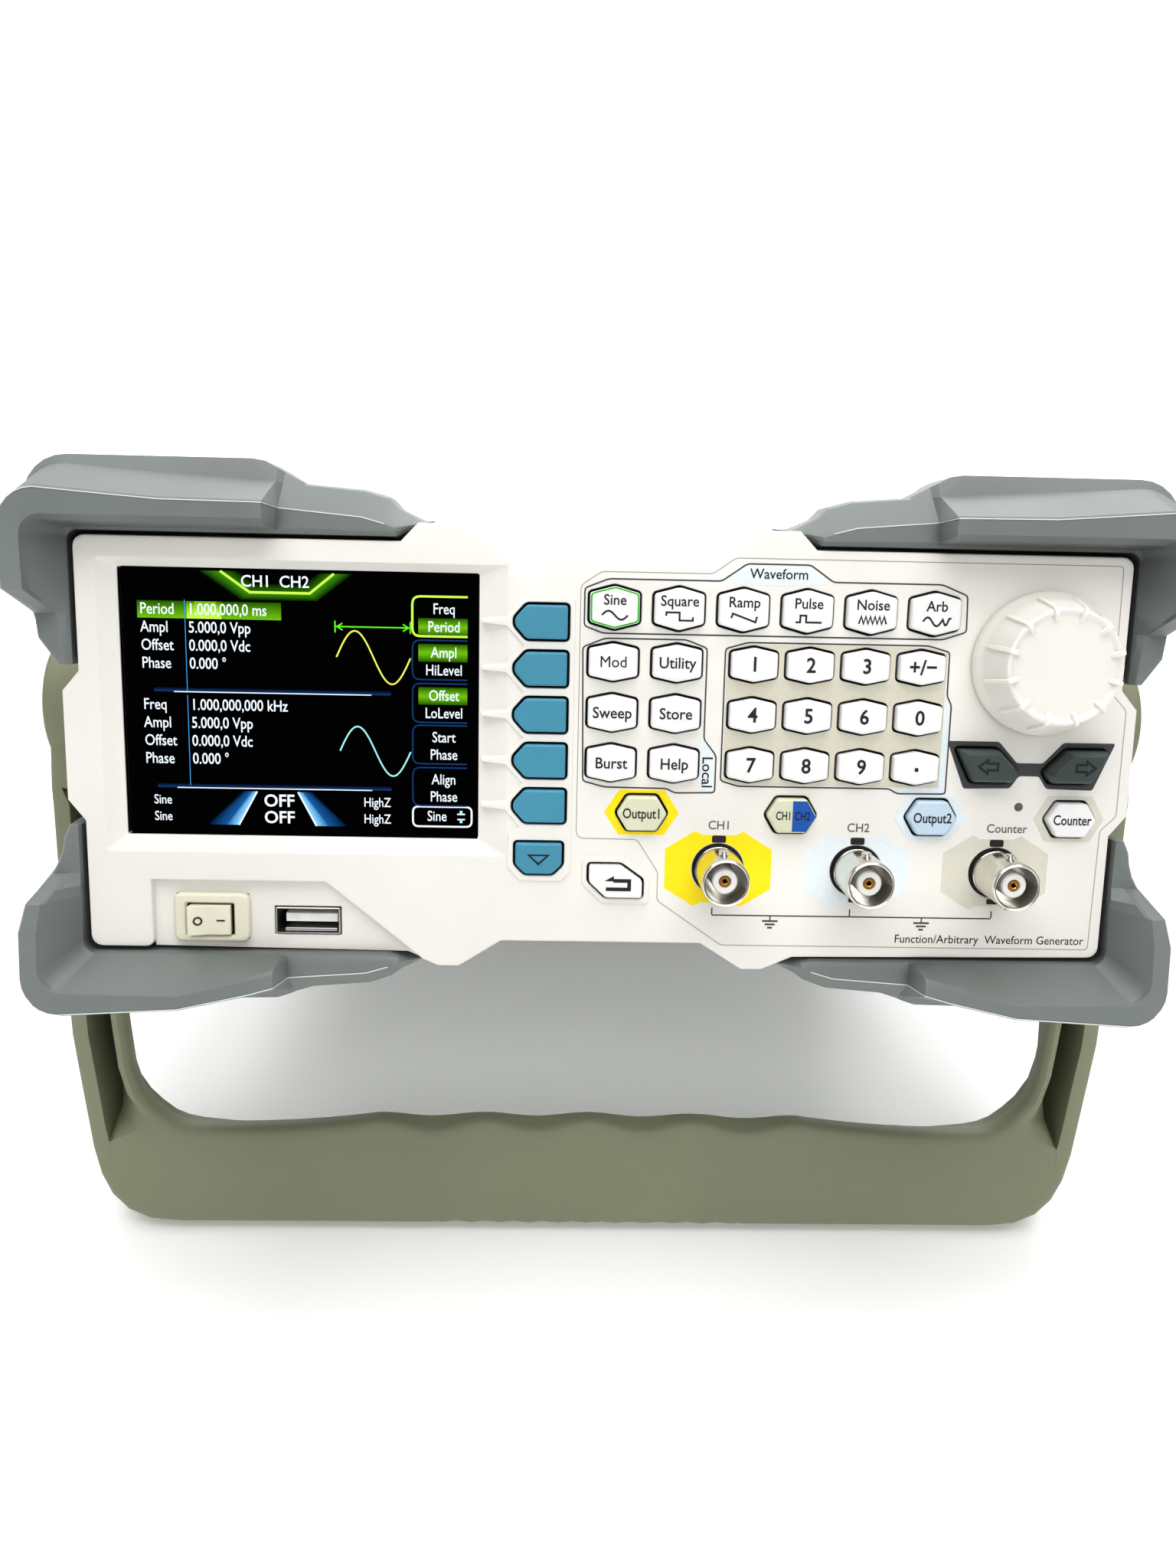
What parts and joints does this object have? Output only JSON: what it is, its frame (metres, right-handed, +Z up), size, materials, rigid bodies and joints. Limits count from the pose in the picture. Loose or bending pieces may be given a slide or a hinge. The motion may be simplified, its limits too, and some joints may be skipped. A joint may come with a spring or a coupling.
{
  "type": "function generator",
  "caption": "Bench function generator with colour screen, keypad, tuning knob and coaxial sockets, soft corner bumpers, and a swing handle that doubles as its stand.",
  "frame": {"origin": "middle of the underside of the bounding box, on the bench, with the instrument standing tilted back on its handle and rear bumper", "axes": "+X to the right seen from the front, +Y from front to back along the bench, +Z up; the front panel faces -Y and leans back 17.38 degrees"},
  "size_m": [0.2616, 0.3312, 0.1913],
  "materials": {
    "board_green": "solder mask",
    "bumper_grey": "matte",
    "case_grey": "fine powder coat",
    "dark_plastic": "matte",
    "handle_olive": "moulded, fine satin grain",
    "key_blue": "satin",
    "key_pale_blue": "satin, translucent",
    "key_slate": "satin",
    "key_white": "satin",
    "key_yellow": "satin, translucent",
    "nickel": "nickel plate",
    "panel_white": "moulded, fine satin grain",
    "screen_glass": "polished",
    "steel": "satin",
    "switch_ivory": "satin"
  },
  "bodies": {
    "instrument": {"ac_inlet": "dark_plastic", "bnc_ch1": "nickel", "bnc_ch2": "nickel", "bnc_counter": "nickel", "case_base": "case_grey", "case_cover": "case_grey", "front_bezel": "panel_white", "front_bumper_lower_left": "bumper_grey", "front_bumper_lower_right": "bumper_grey", "front_bumper_upper_left": "bumper_grey", "front_bumper_upper_right": "bumper_grey", "keypad_board": "board_green", "lcd_module": "steel", "main_board": "board_green", "power_supply": "steel", "power_switch_housing": "switch_ivory", "rear_bumper": "bumper_grey", "rear_panel": "case_grey", "screen_lens": "screen_glass", "usb_port": "steel"},
    "handle": {"carry_handle": "handle_olive"},
    "knob": {"tuning_knob": "key_white"},
    "rocker": {"power_rocker": "switch_ivory"},
    "arrow_key_left": {"arrow_key_left": "key_slate"},
    "arrow_key_right": {"arrow_key_right": "key_slate"},
    "key_0": {"key_0": "key_white"},
    "key_1": {"key_1": "key_white"},
    "key_2": {"key_2": "key_white"},
    "key_3": {"key_3": "key_white"},
    "key_4": {"key_4": "key_white"},
    "key_5": {"key_5": "key_white"},
    "key_6": {"key_6": "key_white"},
    "key_7": {"key_7": "key_white"},
    "key_8": {"key_8": "key_white"},
    "key_9": {"key_9": "key_white"},
    "key_arb": {"key_arb": "key_white"},
    "key_back": {"key_back": "key_white"},
    "key_burst": {"key_burst": "key_white"},
    "key_channel": {"key_channel": "key_yellow"},
    "key_counter": {"key_counter": "key_white"},
    "key_down": {"key_down": "key_blue"},
    "key_help": {"key_help": "key_white"},
    "key_mod": {"key_mod": "key_white"},
    "key_noise": {"key_noise": "key_white"},
    "key_output_1": {"key_output_1": "key_yellow"},
    "key_output_2": {"key_output_2": "key_pale_blue"},
    "key_point": {"key_point": "key_white"},
    "key_pulse": {"key_pulse": "key_white"},
    "key_ramp": {"key_ramp": "key_white"},
    "key_sign": {"key_sign": "key_white"},
    "key_sine": {"key_sine": "key_white"},
    "key_square": {"key_square": "key_white"},
    "key_store": {"key_store": "key_white"},
    "key_sweep": {"key_sweep": "key_white"},
    "key_utility": {"key_utility": "key_white"},
    "soft_key_1": {"soft_key_1": "key_blue"},
    "soft_key_2": {"soft_key_2": "key_blue"},
    "soft_key_3": {"soft_key_3": "key_blue"},
    "soft_key_4": {"soft_key_4": "key_blue"},
    "soft_key_5": {"soft_key_5": "key_blue"}
  },
  "joints": [
    {"name": "handle_swing", "type": "hinge", "parent": "instrument", "child": "handle", "pos_m": [0, -0.0873, 0.1274], "axis": [-1, 0, 0], "range_deg": [-48, 228]},
    {"name": "knob_turn", "type": "hinge", "parent": "instrument", "child": "knob", "pos_m": [0.0884, -0.13557, 0.16064], "axis": [0, -0.9544, 0.2987], "continuous": true},
    {"name": "rocker_tip", "type": "hinge", "parent": "instrument", "child": "rocker", "pos_m": [-0.0812, -0.15126, 0.1065], "axis": [0, -0.2987, -0.9544], "range_deg": [0, 15]},
    {"name": "arrow_key_left_press", "type": "slide", "parent": "instrument", "child": "arrow_key_left", "axis": [0, 0.9544, -0.2987], "range_m": [0, 0.0012], "stiffness_N_per_m": 250},
    {"name": "arrow_key_right_press", "type": "slide", "parent": "instrument", "child": "arrow_key_right", "axis": [0, 0.9544, -0.2987], "range_m": [0, 0.0012], "stiffness_N_per_m": 250},
    {"name": "key_0_press", "type": "slide", "parent": "instrument", "child": "key_0", "axis": [0, 0.9544, -0.2987], "range_m": [0, 0.0012], "stiffness_N_per_m": 250},
    {"name": "key_1_press", "type": "slide", "parent": "instrument", "child": "key_1", "axis": [0, 0.9544, -0.2987], "range_m": [0, 0.0012], "stiffness_N_per_m": 250},
    {"name": "key_2_press", "type": "slide", "parent": "instrument", "child": "key_2", "axis": [0, 0.9544, -0.2987], "range_m": [0, 0.0012], "stiffness_N_per_m": 250},
    {"name": "key_3_press", "type": "slide", "parent": "instrument", "child": "key_3", "axis": [0, 0.9544, -0.2987], "range_m": [0, 0.0012], "stiffness_N_per_m": 250},
    {"name": "key_4_press", "type": "slide", "parent": "instrument", "child": "key_4", "axis": [0, 0.9544, -0.2987], "range_m": [0, 0.0012], "stiffness_N_per_m": 250},
    {"name": "key_5_press", "type": "slide", "parent": "instrument", "child": "key_5", "axis": [0, 0.9544, -0.2987], "range_m": [0, 0.0012], "stiffness_N_per_m": 250},
    {"name": "key_6_press", "type": "slide", "parent": "instrument", "child": "key_6", "axis": [0, 0.9544, -0.2987], "range_m": [0, 0.0012], "stiffness_N_per_m": 250},
    {"name": "key_7_press", "type": "slide", "parent": "instrument", "child": "key_7", "axis": [0, 0.9544, -0.2987], "range_m": [0, 0.0012], "stiffness_N_per_m": 250},
    {"name": "key_8_press", "type": "slide", "parent": "instrument", "child": "key_8", "axis": [0, 0.9544, -0.2987], "range_m": [0, 0.0012], "stiffness_N_per_m": 250},
    {"name": "key_9_press", "type": "slide", "parent": "instrument", "child": "key_9", "axis": [0, 0.9544, -0.2987], "range_m": [0, 0.0012], "stiffness_N_per_m": 250},
    {"name": "key_arb_press", "type": "slide", "parent": "instrument", "child": "key_arb", "axis": [0, 0.9544, -0.2987], "range_m": [0, 0.0012], "stiffness_N_per_m": 250},
    {"name": "key_back_press", "type": "slide", "parent": "instrument", "child": "key_back", "axis": [0, 0.9544, -0.2987], "range_m": [0, 0.0012], "stiffness_N_per_m": 250},
    {"name": "key_burst_press", "type": "slide", "parent": "instrument", "child": "key_burst", "axis": [0, 0.9544, -0.2987], "range_m": [0, 0.0012], "stiffness_N_per_m": 250},
    {"name": "key_channel_press", "type": "slide", "parent": "instrument", "child": "key_channel", "axis": [0, 0.9544, -0.2987], "range_m": [0, 0.0012], "stiffness_N_per_m": 250},
    {"name": "key_counter_press", "type": "slide", "parent": "instrument", "child": "key_counter", "axis": [0, 0.9544, -0.2987], "range_m": [0, 0.0012], "stiffness_N_per_m": 250},
    {"name": "key_down_press", "type": "slide", "parent": "instrument", "child": "key_down", "axis": [0, 0.9544, -0.2987], "range_m": [0, 0.0012], "stiffness_N_per_m": 250},
    {"name": "key_help_press", "type": "slide", "parent": "instrument", "child": "key_help", "axis": [0, 0.9544, -0.2987], "range_m": [0, 0.0012], "stiffness_N_per_m": 250},
    {"name": "key_mod_press", "type": "slide", "parent": "instrument", "child": "key_mod", "axis": [0, 0.9544, -0.2987], "range_m": [0, 0.0012], "stiffness_N_per_m": 250},
    {"name": "key_noise_press", "type": "slide", "parent": "instrument", "child": "key_noise", "axis": [0, 0.9544, -0.2987], "range_m": [0, 0.0012], "stiffness_N_per_m": 250},
    {"name": "key_output_1_press", "type": "slide", "parent": "instrument", "child": "key_output_1", "axis": [0, 0.9544, -0.2987], "range_m": [0, 0.0012], "stiffness_N_per_m": 250},
    {"name": "key_output_2_press", "type": "slide", "parent": "instrument", "child": "key_output_2", "axis": [0, 0.9544, -0.2987], "range_m": [0, 0.0012], "stiffness_N_per_m": 250},
    {"name": "key_point_press", "type": "slide", "parent": "instrument", "child": "key_point", "axis": [0, 0.9544, -0.2987], "range_m": [0, 0.0012], "stiffness_N_per_m": 250},
    {"name": "key_pulse_press", "type": "slide", "parent": "instrument", "child": "key_pulse", "axis": [0, 0.9544, -0.2987], "range_m": [0, 0.0012], "stiffness_N_per_m": 250},
    {"name": "key_ramp_press", "type": "slide", "parent": "instrument", "child": "key_ramp", "axis": [0, 0.9544, -0.2987], "range_m": [0, 0.0012], "stiffness_N_per_m": 250},
    {"name": "key_sign_press", "type": "slide", "parent": "instrument", "child": "key_sign", "axis": [0, 0.9544, -0.2987], "range_m": [0, 0.0012], "stiffness_N_per_m": 250},
    {"name": "key_sine_press", "type": "slide", "parent": "instrument", "child": "key_sine", "axis": [0, 0.9544, -0.2987], "range_m": [0, 0.0012], "stiffness_N_per_m": 250},
    {"name": "key_square_press", "type": "slide", "parent": "instrument", "child": "key_square", "axis": [0, 0.9544, -0.2987], "range_m": [0, 0.0012], "stiffness_N_per_m": 250},
    {"name": "key_store_press", "type": "slide", "parent": "instrument", "child": "key_store", "axis": [0, 0.9544, -0.2987], "range_m": [0, 0.0012], "stiffness_N_per_m": 250},
    {"name": "key_sweep_press", "type": "slide", "parent": "instrument", "child": "key_sweep", "axis": [0, 0.9544, -0.2987], "range_m": [0, 0.0012], "stiffness_N_per_m": 250},
    {"name": "key_utility_press", "type": "slide", "parent": "instrument", "child": "key_utility", "axis": [0, 0.9544, -0.2987], "range_m": [0, 0.0012], "stiffness_N_per_m": 250},
    {"name": "soft_key_1_press", "type": "slide", "parent": "instrument", "child": "soft_key_1", "axis": [0, 0.9544, -0.2987], "range_m": [0, 0.0012], "stiffness_N_per_m": 250},
    {"name": "soft_key_2_press", "type": "slide", "parent": "instrument", "child": "soft_key_2", "axis": [0, 0.9544, -0.2987], "range_m": [0, 0.0012], "stiffness_N_per_m": 250},
    {"name": "soft_key_3_press", "type": "slide", "parent": "instrument", "child": "soft_key_3", "axis": [0, 0.9544, -0.2987], "range_m": [0, 0.0012], "stiffness_N_per_m": 250},
    {"name": "soft_key_4_press", "type": "slide", "parent": "instrument", "child": "soft_key_4", "axis": [0, 0.9544, -0.2987], "range_m": [0, 0.0012], "stiffness_N_per_m": 250},
    {"name": "soft_key_5_press", "type": "slide", "parent": "instrument", "child": "soft_key_5", "axis": [0, 0.9544, -0.2987], "range_m": [0, 0.0012], "stiffness_N_per_m": 250}
  ]
}
